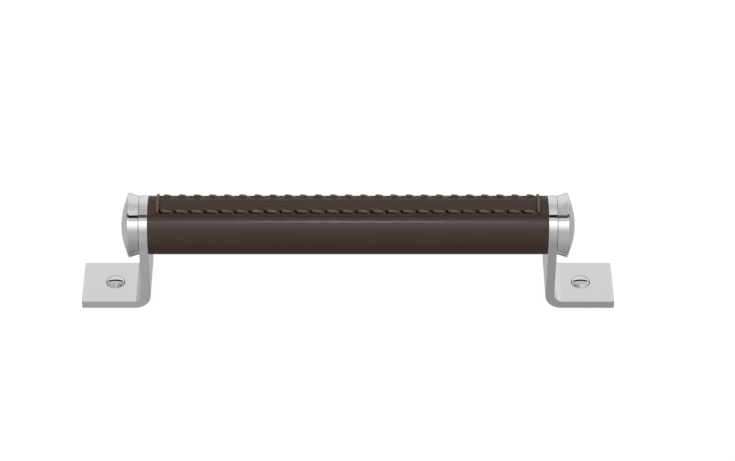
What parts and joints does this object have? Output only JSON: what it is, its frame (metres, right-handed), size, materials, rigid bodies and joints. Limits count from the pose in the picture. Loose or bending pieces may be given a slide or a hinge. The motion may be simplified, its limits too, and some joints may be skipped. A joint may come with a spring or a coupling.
{
  "type": "leather pull handle",
  "caption": "Bar pull handle with a stitched leather grip, bent strip brackets, flared end caps and outward feet with slotted screws.",
  "frame": {"origin": "on the surface that the handle is fixed to, half way between the two foot screws", "axes": "+X along the bar to the right, -Y to the front, +Z away from the mounting surface"},
  "size_m": [0.182, 0.022, 0.0531],
  "materials": {
    "brown_leather": "smooth, satin",
    "thread": "waxed twist",
    "plain_steel": "as turned",
    "polished_chrome": "polished",
    "screw_chrome": "polished"
  },
  "bodies": {
    "root": {"leather_wrap": "brown_leather", "seam_thread": "thread", "core_rod": "plain_steel", "left_stud": "plain_steel", "right_stud": "plain_steel", "left_bracket": "polished_chrome", "right_bracket": "polished_chrome", "left_end_cap": "polished_chrome", "right_end_cap": "polished_chrome", "left_foot_screw": "screw_chrome", "right_foot_screw": "screw_chrome"}
  },
  "joints": []
}
